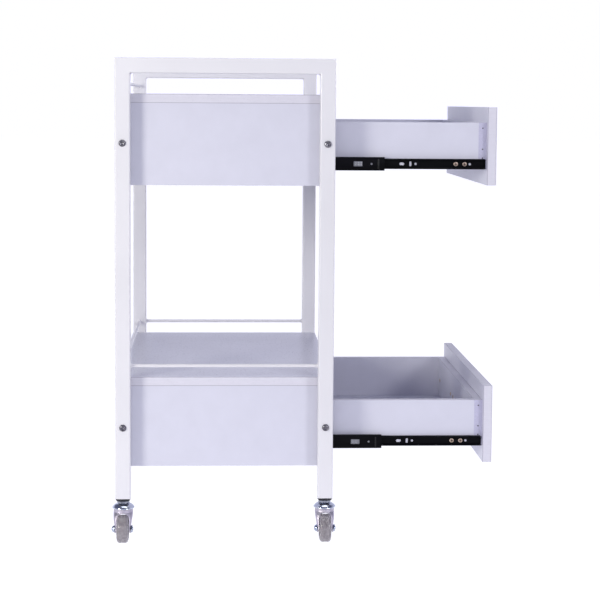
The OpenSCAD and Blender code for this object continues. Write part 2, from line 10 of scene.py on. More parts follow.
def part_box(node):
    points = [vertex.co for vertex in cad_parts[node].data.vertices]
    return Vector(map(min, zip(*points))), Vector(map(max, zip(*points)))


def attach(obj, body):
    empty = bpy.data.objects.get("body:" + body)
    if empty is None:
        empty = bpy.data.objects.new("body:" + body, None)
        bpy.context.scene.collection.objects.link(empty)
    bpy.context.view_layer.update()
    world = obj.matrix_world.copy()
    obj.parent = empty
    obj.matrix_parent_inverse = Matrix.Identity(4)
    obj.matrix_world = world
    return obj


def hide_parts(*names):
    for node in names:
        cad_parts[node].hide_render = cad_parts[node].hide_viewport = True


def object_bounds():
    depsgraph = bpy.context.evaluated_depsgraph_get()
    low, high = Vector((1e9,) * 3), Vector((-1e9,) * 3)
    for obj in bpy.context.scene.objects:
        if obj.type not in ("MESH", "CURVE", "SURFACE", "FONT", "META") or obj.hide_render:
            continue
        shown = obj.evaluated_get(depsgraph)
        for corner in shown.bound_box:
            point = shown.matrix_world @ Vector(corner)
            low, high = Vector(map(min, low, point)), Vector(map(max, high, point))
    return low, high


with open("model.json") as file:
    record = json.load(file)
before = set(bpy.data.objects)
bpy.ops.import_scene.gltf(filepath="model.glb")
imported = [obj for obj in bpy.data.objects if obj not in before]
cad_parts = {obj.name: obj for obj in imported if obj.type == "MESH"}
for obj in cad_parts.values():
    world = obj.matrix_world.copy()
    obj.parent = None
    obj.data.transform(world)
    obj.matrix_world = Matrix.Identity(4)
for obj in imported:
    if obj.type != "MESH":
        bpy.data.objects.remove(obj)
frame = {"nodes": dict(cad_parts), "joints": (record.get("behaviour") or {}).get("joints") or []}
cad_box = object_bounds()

MM = 0.001
SIDES = {"left": -1, "right": 1}
ENDS = ("front", "rear")
FLOORS = ("upper", "lower")


# ---- places taken from the frame ------------------------------------------------------------

def islands(node):
    """Lowest and highest corner of each separate solid in a CAD node."""
    bm = bmesh.new()
    bm.from_mesh(frame["nodes"][node].data)
    bmesh.ops.remove_doubles(bm, verts=bm.verts, dist=1e-6)
    todo, found = set(bm.verts), []
    while todo:
        stack, group = [todo.pop()], []
        while stack:
            vert = stack.pop()
            group.append(vert.co.copy())
            for edge in vert.link_edges:
                other = edge.other_vert(vert)
                if other in todo:
                    todo.discard(other)
                    stack.append(other)
        low = Vector([min(co[i] for co in group) for i in range(3)])
        high = Vector([max(co[i] for co in group) for i in range(3)])
        found.append((low, high))
    bm.free()
    return sorted(found, key=lambda pair: tuple(round(c, 5) for c in pair[0]))


JOINT_POS = {j["name"]: Vector(j["pos_m"]) for j in frame["joints"] if "pos_m" in j}
FOOT_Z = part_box("left_side_frame")[0].z
TOP_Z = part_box("left_side_frame")[1].z
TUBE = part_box("left_side_frame")[1].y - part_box("left_side_frame")[0].y
REAR_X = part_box("left_side_frame")[0].x
FRONT_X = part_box("left_side_frame")[1].x


# ---- mesh helpers ---------------------------------------------------------------------------

def as_object(name, bm, material, smooth_deg=40):
    """Turns a bmesh into an object, smooth except at edges sharper than smooth_deg."""
    bmesh.ops.recalc_face_normals(bm, faces=bm.faces)
    mesh = bpy.data.meshes.new(name)
    bm.to_mesh(mesh)
    bm.free()
    mesh.materials.append(material)
    for polygon in mesh.polygons:
        polygon.use_smooth = True
    mesh.set_sharp_from_angle(angle=math.radians(smooth_deg))
    obj = bpy.data.objects.new(name, mesh)
    bpy.context.scene.collection.objects.link(obj)
    return obj


def add_piece(name, bm, material, body, replaced=(), smooth_deg=40):
    """Makes a finished piece that rides on a body and may stand for CAD nodes."""
    obj = as_object(name, bm, material, smooth_deg)
    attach(obj, body)
    if replaced:
        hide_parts(*replaced)
    return obj


def soften(obj, width, segments=2, angle_deg=35):
    """Rounds the sharp edges of a piece or a CAD node with modifiers."""
    weld = obj.modifiers.new("weld", "WELD")
    weld.merge_threshold = 1e-6
    bevel = obj.modifiers.new("bevel", "BEVEL")
    bevel.width = width
    bevel.segments = segments
    bevel.limit_method = "ANGLE"
    bevel.angle_limit = math.radians(angle_deg)
    bevel.use_clamp_overlap = True
    bevel.harden_normals = False
    normals = obj.modifiers.new("normals", "WEIGHTED_NORMAL")
    normals.keep_sharp = False
    normals.weight = 80


def ring_radius(kind, radius, angle):
    """Distance from the axis of a ring at an angle: round, hexagon or cross."""
    if kind == "hex":
        step = math.pi / 3
        return radius / math.cos((angle % step) - step / 2)
    if kind == "cross":
        arm = radius * 0.24
        step = math.pi / 2
        off = abs((angle + step / 2) % step - step / 2)
        return min(radius / math.cos(off), arm / max(math.sin(off), 1e-6))
    return radius


def turned(rings, steps=48):
    """Solid of rings (kind, radius, height) about the Z axis. A radius of 0 closes it."""
    bm = bmesh.new()
    rows = []
    for kind, radius, height in rings:
        if radius == 0:
            rows.append([bm.verts.new((0, 0, height))])
            continue
        row = []
        for k in range(steps):
            angle = 2 * math.pi * k / steps
            r = ring_radius(kind, radius, angle)
            row.append(bm.verts.new((r * math.cos(angle), r * math.sin(angle), height)))
        rows.append(row)
    for low, high in zip(rows, rows[1:]):
        for k in range(steps):
            corners = [low[k % len(low)], low[(k + 1) % steps % len(low)],
                       high[(k + 1) % steps % len(high)], high[k % len(high)]]
            unique = list(dict.fromkeys(corners))
            if len(unique) > 2:
                bm.faces.new(unique)
    return bm


def round_ring(rings):
    """Rings that are all round, from (radius, height) pairs."""
    return [("round", radius, height) for radius, height in rings]


def arc(centre, radius, start_deg, end_deg, count):
    """Points (r, h) on an arc, for a turned outline."""
    points = []
    for k in range(count + 1):
        a = math.radians(start_deg + (end_deg - start_deg) * k / count)
        points.append((centre[0] + radius * math.cos(a), centre[1] + radius * math.sin(a)))
    return points


def loft(loops):
    """Skin over loops of the same number of points, closed at the first and the last."""
    bm = bmesh.new()
    rows = [[bm.verts.new(p) for p in loop] for loop in loops]
    count = len(rows[0])
    for low, high in zip(rows, rows[1:]):
        for k in range(count):
            bm.faces.new([low[k], low[(k + 1) % count], high[(k + 1) % count], high[k]])
    bm.faces.new(rows[0])
    bm.faces.new(rows[-1])
    return bm


def joined(parts):
    """One bmesh of several (bmesh, matrix) pairs."""
    whole = bmesh.new()
    for bm, matrix in parts:
        mesh = bpy.data.meshes.new("part")
        bm.to_mesh(mesh)
        mesh.transform(matrix)
        if matrix.determinant() < 0:
            mesh.flip_normals()
        whole.from_mesh(mesh)
        bpy.data.meshes.remove(mesh)
    return whole


def facing(direction):
    """Rotation that turns the Z axis to a direction."""
    return Vector(direction).to_track_quat("Z", "Y").to_matrix().to_4x4()


def rounded_outline(low_x, high_x, low_y, high_y, radius, corner_points=6):
    """Rectangle with rounded corners, as (x, y) points."""
    points = []
    for cx, cy, start in ((high_x - radius, high_y - radius, 0),
                          (low_x + radius, high_y - radius, 90),
                          (low_x + radius, low_y + radius, 180),
                          (high_x - radius, low_y + radius, 270)):
        for k in range(corner_points):
            a = math.radians(start + 90 * k / (corner_points - 1))
            points.append((cx + radius * math.cos(a), cy + radius * math.sin(a)))
    return points


def boolean(target, cutters, operation="DIFFERENCE"):
    """Applies cutters, which are bmeshes, to a bmesh and gives the new one."""
    def loose(bm):
        """Puts a bmesh in the scene for as long as the cut takes."""
        bmesh.ops.recalc_face_normals(bm, faces=bm.faces)
        mesh = bpy.data.meshes.new("cut")
        bm.to_mesh(mesh)
        bm.free()
        obj = bpy.data.objects.new("cut", mesh)
        bpy.context.scene.collection.objects.link(obj)
        return obj
    base = loose(target)
    tools = [loose(bm) for bm in cutters]
    for tool in tools:
        modifier = base.modifiers.new("cut", "BOOLEAN")
        modifier.operation = operation
        modifier.solver = "EXACT"
        modifier.object = tool
    bpy.context.view_layer.update()
    result = base.evaluated_get(bpy.context.evaluated_depsgraph_get())
    bm = bmesh.new()
    bm.from_mesh(result.to_mesh())
    result.to_mesh_clear()
    for obj in [base, *tools]:
        mesh = obj.data
        bpy.data.objects.remove(obj)
        bpy.data.meshes.remove(mesh)
    return bm


# ---- materials ------------------------------------------------------------------------------

class Shader:
    """A node material with short calls for what the trolley's finishes share."""

    def __init__(self, name, **sockets):
        self.material = bpy.data.materials.new(name)
        self.material.use_nodes = True
        self.tree = self.material.node_tree
        self.bsdf = self.tree.nodes["Principled BSDF"]
        for key, value in sockets.items():
            self.bsdf.inputs[key.replace("_", " ")].default_value = value
        self.place = self.tree.nodes.new("ShaderNodeTexCoord").outputs["Object"]

    def link(self, source, target):
        """Joins an output socket to an input socket."""
        self.tree.links.new(source, target)

    def noise(self, scale, detail=3.0, roughness=0.55, stretch=(1, 1, 1)):
        """Noise over the object's own space, with scale in features per metre."""
        mapping = self.tree.nodes.new("ShaderNodeMapping")
        mapping.inputs["Scale"].default_value = stretch
        self.link(self.place, mapping.inputs["Vector"])
        node = self.tree.nodes.new("ShaderNodeTexNoise")
        node.inputs["Scale"].default_value = scale
        node.inputs["Detail"].default_value = detail
        node.inputs["Roughness"].default_value = roughness
        self.link(mapping.outputs["Vector"], node.inputs["Vector"])
        return node.outputs["Fac"]

    def ramp(self, source, stops):
        """Colour ramp through (position, colour) stops."""
        node = self.tree.nodes.new("ShaderNodeValToRGB")
        elements = node.color_ramp.elements
        while len(elements) < len(stops):
            elements.new(0.5)
        for element, (position, colour) in zip(elements, stops):
            element.position = position
            element.color = (*colour, 1)
        self.link(source, node.inputs["Fac"])
        return node.outputs["Color"]

    def spread(self, source, low, high):
        """Maps a noise from 0.3 to 0.7 onto a range."""
        node = self.tree.nodes.new("ShaderNodeMapRange")
        node.inputs["From Min"].default_value = 0.3
        node.inputs["From Max"].default_value = 0.7
        node.inputs["To Min"].default_value = low
        node.inputs["To Max"].default_value = high
        self.link(source, node.inputs["Value"])
        return node.outputs["Result"]

    def math(self, operation, first, second=None, third=None):
        """One sum over sockets or numbers."""
        node = self.tree.nodes.new("ShaderNodeMath")
        node.operation = operation
        for socket, value in zip(node.inputs, (first, second, third)):
            if value is None:
                continue
            if isinstance(value, (int, float)):
                socket.default_value = value
            else:
                self.link(value, socket)
        return node.outputs["Value"]

    def mix(self, factor, first, second):
        """Blends two colours, each a socket or a tuple."""
        node = self.tree.nodes.new("ShaderNodeMix")
        node.data_type = "RGBA"
        self.link(factor, node.inputs["Factor"])
        for socket, value in ((node.inputs[6], first), (node.inputs[7], second)):
            if isinstance(value, tuple):
                socket.default_value = (*value, 1)
            else:
                self.link(value, socket)
        return node.outputs[2]

    def colour(self, source):
        """Takes the base colour from a socket."""
        self.link(source, self.bsdf.inputs["Base Color"])

    def roughness(self, source):
        """Takes the roughness from a socket."""
        self.link(source, self.bsdf.inputs["Roughness"])

    def bump(self, height, distance, strength=1.0):
        """Adds relief; distance is its depth in metres."""
        node = self.tree.nodes.new("ShaderNodeBump")
        node.inputs["Distance"].default_value = distance
        node.inputs["Strength"].default_value = strength
        self.link(height, node.inputs["Height"])
        before = self.bsdf.inputs["Normal"]
        if before.is_linked:
            self.link(before.links[0].from_socket, node.inputs["Normal"])
        self.link(node.outputs["Normal"], before)


def around(colour, share):
    """Two colours a share darker and lighter than the given one."""
    return (tuple(c * (1 - share) for c in colour),
            tuple(min(1.0, c * (1 + share)) for c in colour))


COAT_COLOUR = (0.64, 0.633, 0.668)
FACE_COLOUR = (0.553, 0.553, 0.643)
BAND_COLOUR = (0.58, 0.57, 0.645)
END_GRAIN_COLOUR = (0.44, 0.43, 0.57)
SEAM_COLOUR = (0.32, 0.31, 0.38)
SEAM_INSET, SEAM_HALF_WIDTH = 0.0004, 0.0005
FACE_ON, END_ON = 0.95, 0.8     # share of a normal along an axis that counts as facing it
BOARD_ROUGH = (0.42, 0.52)
WIPED_ROUGH = (0.26, 0.36)


def powder_coat():
    """Semi-gloss white powder coat with its orange-peel surface."""
    s = Shader("white_powder_coat", Coat_Weight=0.25, Coat_Roughness=0.12)
    dark, light = around(COAT_COLOUR, 0.015)
    s.colour(s.ramp(s.noise(9, 2), [(0.35, dark), (0.65, light)]))
    s.roughness(s.spread(s.noise(140, 2), 0.30, 0.40))
    s.bump(s.noise(520, 1.5), 0.00008, 0.35)
    return s.material


def melamine(name, thin_axis, low, high, bare_ends, rough):
    """White melamine face with a fine pearl, and edge bands between low and high on the
    thin axis. Bare ends show the board's chips on the faces across Y."""
    s = Shader(name, Coat_Weight=0.1, Coat_Roughness=0.3)
    dark, light = around(FACE_COLOUR, 0.02)
    face = s.ramp(s.noise(26, 4), [(0.3, dark), (0.7, light)])
    geometry = s.tree.nodes.new("ShaderNodeNewGeometry")
    normal = s.tree.nodes.new("ShaderNodeSeparateXYZ")
    s.link(geometry.outputs["True Normal"], normal.inputs["Vector"])
    place = s.tree.nodes.new("ShaderNodeSeparateXYZ")
    s.link(s.place, place.inputs["Vector"])
    across = s.math("ABSOLUTE", normal.outputs["XYZ".index(thin_axis)])
    band = s.math("LESS_THAN", across, FACE_ON)
    fine = s.noise(340, 3, stretch=(0.15, 0.15, 1))
    dark, light = around(BAND_COLOUR, 0.03)
    edge = s.ramp(fine, [(0.3, dark), (0.7, light)])
    depth = place.outputs["XYZ".index(thin_axis)]
    half = (high - low) / 2
    from_middle = s.math("ABSOLUTE", s.math("SUBTRACT", depth, low + half))
    seam = s.math("COMPARE", from_middle, half - SEAM_INSET, SEAM_HALF_WIDTH)
    glued = s.math("MULTIPLY", band, seam)
    tone = s.mix(glued, s.mix(band, face, edge), SEAM_COLOUR)
    if bare_ends:
        dark, light = around(END_GRAIN_COLOUR, 0.09)
        chips = s.ramp(s.noise(420, 4), [(0.3, dark), (0.7, light)])
        at_end = s.math("GREATER_THAN", s.math("ABSOLUTE", normal.outputs["Y"]), END_ON)
        tone = s.mix(at_end, tone, chips)
    s.colour(tone)
    s.roughness(s.spread(s.noise(300, 2), *rough))
    s.bump(s.noise(1500, 2), 0.00004, 0.3)
    return s.material


def black_coat(name, shine):
    """Black dip coat of the slides, with faint rolling lines and rubbed spots."""
    s = Shader(name, Specular_IOR_Level=shine)
    rubbed = s.noise(55, 5, stretch=(0.15, 1, 1))
    s.colour(s.ramp(rubbed, [(0.45, (0.001, 0.001, 0.002)), (0.85, (0.006, 0.006, 0.009))]))
    s.roughness(s.spread(s.noise(240, 3, stretch=(0.1, 1, 1)), 0.34, 0.5))
    s.bump(s.noise(900, 2, stretch=(0.1, 1, 1)), 0.00004, 0.3)
    return s.material


def plated(name, dark, light, tint, rough=(0.16, 0.3)):
    """Plated steel whose passivation drifts between a plain and a tinted tone."""
    s = Shader(name, Metallic=1.0)
    plain = s.ramp(s.noise(160, 4), [(0.3, dark), (0.7, light)])
    drift = s.spread(s.noise(70, 2), 0.0, 0.85)
    s.colour(s.mix(drift, plain, tint))
    s.roughness(s.spread(s.noise(420, 3), *rough))
    s.bump(s.noise(700, 3), 0.00005, 0.35)
    return s.material


def moulded_black():
    """Fine-grained black plastic of the leg plugs."""
    s = Shader("black_moulded_plastic")
    s.colour(s.ramp(s.noise(120, 3), [(0.3, (0.010, 0.010, 0.012)), (0.7, (0.022, 0.022, 0.026))]))
    s.roughness(s.spread(s.noise(300, 2), 0.4, 0.6))
    s.bump(s.noise(1800, 2), 0.00008, 0.5)
    return s.material


def translucent(name, dark, light, through, rough):
    """Cloudy see-through plastic of the wheels."""
    s = Shader(name, Transmission_Weight=through, IOR=1.46, Subsurface_Weight=0.25,
               Subsurface_Radius=(0.004, 0.0035, 0.0035), Subsurface_Scale=1.0)
    s.colour(s.ramp(s.noise(130, 4), [(0.3, dark), (0.7, light)]))
    s.roughness(s.spread(s.noise(380, 2), *rough))
    s.bump(s.noise(900, 2), 0.00006, 0.35)
    return s.material


COAT = powder_coat()
SLIDE = black_coat("black_slide_coat", 0.07)
RUBBED = black_coat("black_coat_rubbed", 0.3)
BALLS = plated("ball_steel_polished", (0.20, 0.21, 0.23), (0.34, 0.35, 0.37), (0.26, 0.26, 0.29),
               (0.3, 0.45))
BRASS = plated("yellow_passivated", (0.40, 0.31, 0.22), (0.66, 0.56, 0.44), (0.50, 0.38, 0.34),
               (0.28, 0.45))
# Near-black metal for the crosses set in the screws' recesses: painted shade standing in for the
# recesses' shadow
RECESS_SHADE_PAINT = plated("socket_shade", (0.02, 0.012, 0.008), (0.07, 0.045, 0.03), (0.05, 0.03, 0.02),
                (0.5, 0.7))
NAIL = plated("nail_steel", (0.03, 0.03, 0.04), (0.10, 0.10, 0.12), (0.06, 0.05, 0.06), (0.4, 0.6))
ZINC = plated("blue_zinc", (0.34, 0.38, 0.44), (0.62, 0.67, 0.74), (0.30, 0.35, 0.50))
DARK_ZINC = plated("dark_zinc", (0.12, 0.12, 0.13), (0.32, 0.32, 0.35), (0.12, 0.11, 0.14),
                   (0.2, 0.4))
CHROME = plated("dome_chrome", (0.56, 0.61, 0.68), (0.82, 0.86, 0.92), (0.52, 0.56, 0.68),
                (0.12, 0.24))
NUT_ZINC = plated("nut_zinc", (0.18, 0.19, 0.22), (0.42, 0.44, 0.48), (0.22, 0.24, 0.30),
                  (0.12, 0.25))
FORK = plated("fork_zinc", (0.40, 0.385, 0.43), (0.54, 0.515, 0.57), (0.44, 0.40, 0.50),
              (0.42, 0.55))
PLASTIC = moulded_black()
CORE = translucent("wheel_core_plastic", (0.42, 0.40, 0.42), (0.58, 0.56, 0.58), 0.3, (0.25, 0.4))
TYRE = translucent("wheel_tyre_plastic", (0.30, 0.275, 0.30), (0.46, 0.43, 0.455), 0.45,
                   (0.06, 0.2))


# ---- CAD nodes that stay --------------------------------------------------------------------

# Widths of the rounded edges
BOARD_EDGE, TUBE_EDGE = 0.0008, 0.0004
RAIL_EDGE, CAGE_EDGE, FIXING_EDGE = 0.00025, 0.0001, 0.0003
FORK_EDGE, CORE_EDGE = 0.00035, 0.0003


def dress(node, material, width, segments=2):
    """Gives a CAD node its material and rounds its edges."""
    obj = frame["nodes"][node]
    obj.data.materials.clear()
    obj.data.materials.append(material)
    soften(obj, width, segments)


def dress_boards():
    """Every board gets edge bands on the sides across its own thickness. The two top
    boards are wiped in use, so they are smoother than the others."""
    boards = {"top_board": "Z", "cabinet_left_side": "Y", "cabinet_right_side": "Y",
              "cabinet_back": "X", "cabinet_bottom": "Z", "drawer_front": "X",
              "drawer_box_front": "X", "drawer_left_side": "Y", "drawer_right_side": "Y",
              "drawer_back": "X", "drawer_bottom": "Z"}
    for level in FLOORS:
        for board, axis in boards.items():
            node = f"{level}_{board}"
            low, high = (corner["XYZ".index(axis)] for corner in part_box(node))
            bare = board == "drawer_box_front"
            rough = WIPED_ROUGH if board == "top_board" else BOARD_ROUGH
            finish = melamine(f"melamine_{node}", axis, low, high, bare, rough)
            dress(node, finish, BOARD_EDGE)


def dress_steel():
    """The side frames, the slides' rails and cages, and the cabinet's fixings."""
    for side in SIDES:
        dress(f"{side}_side_frame", COAT, TUBE_EDGE, 1)
    for level in FLOORS:
        for rails in ("outer_rails", "middle_rails", "inner_rails"):
            dress(f"{level}_{rails}", SLIDE, RAIL_EDGE)
        for cages in ("outer_cages", "inner_cages"):
            dress(f"{level}_{cages}", BALLS, CAGE_EDGE, 1)
    dress("cabinet_fixings", BRASS, FIXING_EDGE)


# ---- frame details --------------------------------------------------------------------------

SIDE_ROD_WELD, BACK_ROD_WELD = 0.0042, 0.0016
BOLT_HEAD_SHARE = 0.9


def rod(low, high, axis, weld):
    """Round rod between two corners, flared by the width of its weld at both ends."""
    length = high[axis] - low[axis]
    radius = (high[2] - low[2]) / 2
    flare = [(weld * (1 - math.cos(a)), 1 + weld / radius * (1 - math.sin(a)))
             for a in (math.pi / 12 * k for k in range(7))]
    rings = [(radius * grow, along) for along, grow in flare]
    rings += [(radius, length * k / 12) for k in range(1, 12)]
    rings += [(radius * grow, length - along) for along, grow in reversed(flare)]
    bm = turned(round_ring([(0, 0), *rings, (0, length)]), 32)
    start = (low + high) / 2
    start[axis] = low[axis]
    direction = Vector((0, 0, 0))
    direction[axis] = 1
    return bm, Matrix.Translation(start) @ facing(direction)


def make_rods():
    """Guard rods. The welds flare those along the sides more than those at the back."""
    for node, axis, weld in (("left_shelf_rail", 0, SIDE_ROD_WELD),
                             ("right_shelf_rail", 0, SIDE_ROD_WELD),
                             ("upper_back_rail", 1, BACK_ROD_WELD),
                             ("lower_back_rail", 1, BACK_ROD_WELD)):
        bm = joined([rod(*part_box(node), axis, weld)])
        add_piece(f"{node}_rod", bm, COAT, "trolley_frame", [node])


def corner_weld(x, inward, y, rng):
    """Fillet weld across the tube in the inner corner under the top bar."""
    size, width, steps = 0.0042, TUBE - 0.005, 26
    corner_z = TOP_Z - TUBE
    loops = []
    for k in range(steps + 1):
        ripple = 1 + 0.08 * math.sin(k * 1.9) + rng.uniform(-0.05, 0.05)
        taper = min(1, 0.12 + k / steps * 3, 3.12 - k / steps * 3)
        leg = size * ripple * math.sin(math.pi * taper / 2)
        across = y - width / 2 + width * k / steps
        loop = [(x, across, corner_z)]
        for a in range(7):
            turn = math.pi / 2 * a / 6
            loop.append((x + inward * leg * (1 - math.sin(turn) * 0.999), across,
                         corner_z - leg * (1 - math.cos(turn) * 0.999)))
        loops.append(loop)
    return loft(loops)


def make_welds():
    """Inner corners of both side frames."""
    rng = random.Random(5)
    for side in SIDES:
        low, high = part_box(f"{side}_side_frame")
        y = (low.y + high.y) / 2
        parts = [(corner_weld(REAR_X + TUBE, 1, y, rng), Matrix()),
                 (corner_weld(FRONT_X - TUBE, -1, y, rng), Matrix())]
        add_piece(f"{side}_frame_welds", joined(parts), COAT, "trolley_frame",
                  smooth_deg=60)


def bolt_head(radius, height):
    """Domed head with a washer-like rim and a hexagon socket."""
    socket = 0.0029
    dome = [(radius, 0.0), (radius, 0.0007), (radius * 0.97, 0.0012)]
    dome += [(radius * math.cos(a), 0.0008 + (height - 0.0008) * math.sin(a))
             for a in (0.45, 0.65, 0.85, 1.02)]
    rings = round_ring([(0, 0), *dome, (socket + 0.0009, height)])
    rings += [("hex", socket + 0.0002, height - 0.0003), ("hex", socket, height - 0.0008),
              ("hex", socket, height - 0.0028), ("round", 0.0018, height - 0.0031),
              ("round", 0, height - 0.0038)]
    return turned(rings, 48)


def make_bolts():
    """Socket bolts on the outer faces of the legs, with heads a little smaller than the
    plain ones of the CAD."""
    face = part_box("right_side_frame")[1].y
    parts = []
    for low, high in islands("frame_bolts"):
        middle = (low + high) / 2
        side = 1 if middle.y > 0 else -1
        radius = (high.z - low.z) / 2 * BOLT_HEAD_SHARE
        height = max(abs(low.y), abs(high.y)) - face
        place = Vector((middle.x, side * face, middle.z))
        parts.append((bolt_head(radius, height),
                      Matrix.Translation(place) @ facing((0, side, 0))))
    add_piece("socket_bolts", joined(parts), DARK_ZINC, "trolley_frame",
              ["frame_bolts"])


# ---- screws and nails -----------------------------------------------------------------------

SCREW_HEAD, SCREW_SHANK = 0.0008, 0.00175
WIDEST_NAIL = 0.004


def screw(radius, head_h, length, shank):
    """Pan-head screw with a cross recess; the head's top faces +Z, the shank points down."""
    pitch = 0.0014
    thread = []
    turns = max(2, int((length - head_h) / pitch))
    for k in range(turns):
        z = -0.0004 - k * pitch
        thread += [(shank, z), (shank, z - 0.0005), (shank * 0.8, z - 0.0009)]
    rings = round_ring([(0, -length + head_h), (shank * 0.4, -length + head_h + 0.001),
                        *reversed(thread), (shank, 0), (radius, 0), (radius, head_h * 0.35),
                        (radius * 0.93, head_h * 0.8), (radius * 0.8, head_h)])
    rings += [("cross", radius * 0.66, head_h), ("cross", radius * 0.46, head_h - 0.0016),
              ("round", 0, head_h - 0.0022)]
    return turned(rings, 64)


def painted_recess_shade(radius, head_h):
    """Dark cross in the bottom of the same screw's recess: painted shade standing in for the
    recess's shadow.
    """
    return turned([("round", 0, head_h - 0.0021), ("cross", radius * 0.46, head_h - 0.0019),
                   ("cross", radius * 0.60, head_h - 0.0004), ("round", 0, head_h - 0.0004)], 64)


def nail(radius, length):
    """Nail head set flush in the board, with a small dimple."""
    head = radius * 1.25
    return turned(round_ring([(0, -length), (radius, -length + 0.002), (radius, -0.0004),
                              (head, -0.0001), (head, 0.0001), (head * 0.7, 0.00022),
                              (head * 0.3, 0.0001), (0, 0.00005)]), 24)


def make_drawer_screws(level):
    """A drawer's fixings: screws along X or Y by their longer side, each with a dark cross of
    painted shade in its recess, and thin nails.
    """
    node = f"{level}_drawer_screws"
    parts, sockets, nails = [], [], []
    for low, high in islands(node):
        size = high - low
        middle = (low + high) / 2
        if size.x > size.y:
            place = Vector((low.x + SCREW_HEAD, middle.y, middle.z))
            turn = Matrix.Translation(place) @ facing((-1, 0, 0))
            parts.append((screw(size.z / 2, SCREW_HEAD, size.x, SCREW_SHANK), turn))
            # dark cross in the recess: painted shade
            sockets.append((painted_recess_shade(size.z / 2, SCREW_HEAD), turn))
            continue
        side = 1 if middle.y > 0 else -1
        outer = max(abs(low.y), abs(high.y))
        if size.x > WIDEST_NAIL:
            place = Vector((middle.x, side * (outer - SCREW_HEAD), middle.z))
            turn = Matrix.Translation(place) @ facing((0, side, 0))
            parts.append((screw(size.x / 2, SCREW_HEAD, size.y, SCREW_SHANK), turn))
            # dark cross in the recess: painted shade
            sockets.append((painted_recess_shade(size.x / 2, SCREW_HEAD), turn))
        else:
            place = Vector((middle.x, side * outer, middle.z))
            bm = nail(size.x / 2, size.y)
            nails.append((bm, Matrix.Translation(place) @ facing((0, side, 0))))
    add_piece(f"{level}_drawer_cross_screws", joined(parts), BRASS, f"{level}_drawer",
              [node])
    # the recesses' painted shade rides with the drawer
    add_piece(f"{level}_screw_recess_painted_shade", joined(sockets), RECESS_SHADE_PAINT, f"{level}_drawer")
    add_piece(f"{level}_drawer_nails", joined(nails), NAIL, f"{level}_drawer",
              [node])


# ---- stamped details of the slides ----------------------------------------------------------

WINDOW_SETBACK = 0.048
BEAD_SETBACK = 0.011
PAD_COLUMN_STEP, PAD_ROW_OFFSET = 0.0052, 0.0021
# Width, height, how proud it stands and corner radius of each stamped shape
BEAD = (0.0026, 0.0185, 0.0005, 0.0012)
PAD = (0.0042, 0.0033, 0.00025, 0.0005)


def stamped(width, height, proud, radius):
    """Low pad on the XY plane with rounded corners and sloping sides."""
    levels = [(-0.00005, 0.0), (proud * 0.4, 0.0), (proud, min(proud, radius * 0.7))]
    return loft([[(x, y, z) for x, y in rounded_outline(inset - width / 2, width / 2 - inset,
                                                        inset - height / 2, height / 2 - inset,
                                                        radius - inset)]
                 for z, inset in levels])


def make_slide_details(level):
    """A bead near each middle member's front end, and six pads on the cage behind its window."""
    low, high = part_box(f"{level}_middle_rails")
    mid_z = (low.z + high.z) / 2
    cage_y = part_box(f"{level}_inner_cages")[1].y
    beads, pads = [], []
    for side in SIDES.values():
        turn = Matrix.Rotation(-side * math.pi / 2, 4, "X")
        place = Vector((high.x - BEAD_SETBACK, side * high.y, mid_z))
        beads.append((stamped(*BEAD), Matrix.Translation(place) @ turn))
        for column in (-1, 0, 1):
            for row in (-1, 1):
                place = Vector((high.x - WINDOW_SETBACK + column * PAD_COLUMN_STEP,
                                side * cage_y, mid_z + row * PAD_ROW_OFFSET))
                pads.append((stamped(*PAD), Matrix.Translation(place) @ turn))
    add_piece(f"{level}_middle_rail_beads", joined(beads), RUBBED,
              f"{level}_middle_rails_slider")
    add_piece(f"{level}_cage_pads", joined(pads), BALLS, f"{level}_inner_cages_slider")


# ---- casters --------------------------------------------------------------------------------

def make_leg_plugs():
    """Black plugs: a tapered square collar under each leg and a body inside the tube."""
    parts = []
    for low, high in islands("leg_plugs"):
        centre = (low + high) / 2
        half = (high.x - low.x) / 2
        collar = FOOT_Z - low.z
        # Height above the leg's end, half width and corner radius
        levels = [(0.020, half - 0.0018, 0.0012), (0.0001, half - 0.0018, 0.0012),
                  (0.0, half - 0.0003, 0.0022), (-0.0006, half, 0.0025),
                  (-0.0012, half - 0.0003, 0.0025), (-collar * 0.85, half - 0.0022, 0.0025),
                  (-collar, half - 0.0032, 0.0025)]
        loops = [[(centre.x + x, centre.y + y, FOOT_Z + z)
                  for x, y in rounded_outline(-h, h, -h, h, r)] for z, h, r in levels]
        parts.append((loft(loops), Matrix()))
    add_piece("leg_plug_collars", joined(parts), PLASTIC, "trolley_frame",
              ["leg_plugs"])


CUP_TOP_MM, CUP_RIM_MM, CUP_R_MM = -10.5, -18.0, 20.0
NUT_TOP_MM, NUT_LOW_MM, NUT_R_MM = -5.05, -9.9, 9.5
PIN_LOW_MM, PIN_R_MM, RIVET_R_MM = -20.8, 5.0, 8.0


